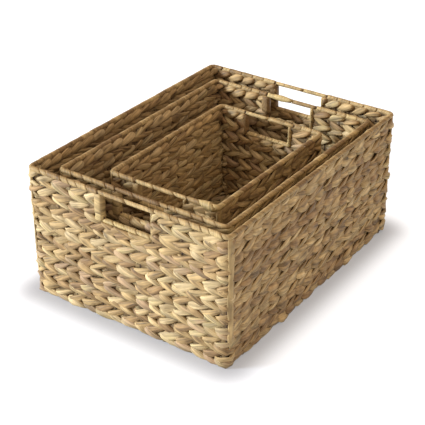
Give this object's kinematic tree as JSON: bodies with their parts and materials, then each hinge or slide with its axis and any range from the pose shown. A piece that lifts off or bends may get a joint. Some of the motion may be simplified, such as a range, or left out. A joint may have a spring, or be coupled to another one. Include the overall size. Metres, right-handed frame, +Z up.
{
  "type": "woven laundry basket set",
  "caption": "Nested rectangular baskets twined from flat plant strand on welded wire frames, with wrapped rims and hand holes; each inner basket lifts out.",
  "frame": {"origin": "centre of the underside of the large basket, which all three baskets share in plan", "axes": "+X to the right seen from the front hand hole, +Y from the front hand hole to the back one along the long sides, +Z up"},
  "size_m": [0.4158, 0.5498, 0.25],
  "materials": {
    "woven_strand": "dried water hyacinth strand, twined, matt with a slight sheen",
    "binding_strand": "dried water hyacinth strand, wrapped flat and pale",
    "frame_wire": "bare dark iron wire"
  },
  "bodies": {
    "large_basket": {"large_wire_cage": "frame_wire", "large_rim_wire": "frame_wire", "large_floor": "woven_strand", "large_front_wall": "woven_strand", "large_front_grip": "binding_strand", "large_front_hole_wire": "frame_wire", "large_front_hole_binding": "binding_strand", "large_back_wall": "woven_strand", "large_back_grip": "binding_strand", "large_back_hole_wire": "frame_wire", "large_back_hole_binding": "binding_strand", "large_left_wall": "woven_strand", "large_right_wall": "woven_strand", "large_rim_binding_left": "binding_strand", "large_rim_binding_right": "binding_strand", "large_back_right_strap": "binding_strand", "large_back_left_strap": "binding_strand", "large_front_left_strap": "binding_strand", "large_front_right_strap": "binding_strand"},
    "medium_basket": {"medium_wire_cage": "frame_wire", "medium_rim_wire": "frame_wire", "medium_floor": "woven_strand", "medium_front_wall": "woven_strand", "medium_front_grip": "binding_strand", "medium_front_hole_wire": "frame_wire", "medium_front_hole_binding": "binding_strand", "medium_back_wall": "woven_strand", "medium_back_grip": "binding_strand", "medium_back_hole_wire": "frame_wire", "medium_back_hole_binding": "binding_strand", "medium_left_wall": "woven_strand", "medium_right_wall": "woven_strand", "medium_rim_binding_left": "binding_strand", "medium_rim_binding_right": "binding_strand", "medium_back_right_strap": "binding_strand", "medium_back_left_strap": "binding_strand", "medium_front_left_strap": "binding_strand", "medium_front_right_strap": "binding_strand"},
    "small_basket": {"small_wire_cage": "frame_wire", "small_rim_wire": "frame_wire", "small_floor": "woven_strand", "small_front_wall": "woven_strand", "small_front_grip": "binding_strand", "small_front_hole_wire": "frame_wire", "small_front_hole_binding": "binding_strand", "small_back_wall": "woven_strand", "small_back_grip": "binding_strand", "small_back_hole_wire": "frame_wire", "small_back_hole_binding": "binding_strand", "small_left_wall": "woven_strand", "small_right_wall": "woven_strand", "small_rim_binding_left": "binding_strand", "small_rim_binding_right": "binding_strand", "small_back_right_strap": "binding_strand", "small_back_left_strap": "binding_strand", "small_front_left_strap": "binding_strand", "small_front_right_strap": "binding_strand"}
  },
  "joints": [
    {"name": "medium_lift", "type": "slide", "parent": "large_basket", "child": "medium_basket", "axis": [0, 0, 1], "range_m": [0, 0.26]},
    {"name": "small_lift", "type": "slide", "parent": "medium_basket", "child": "small_basket", "axis": [0, 0, 1], "range_m": [0, 0.23]}
  ]
}
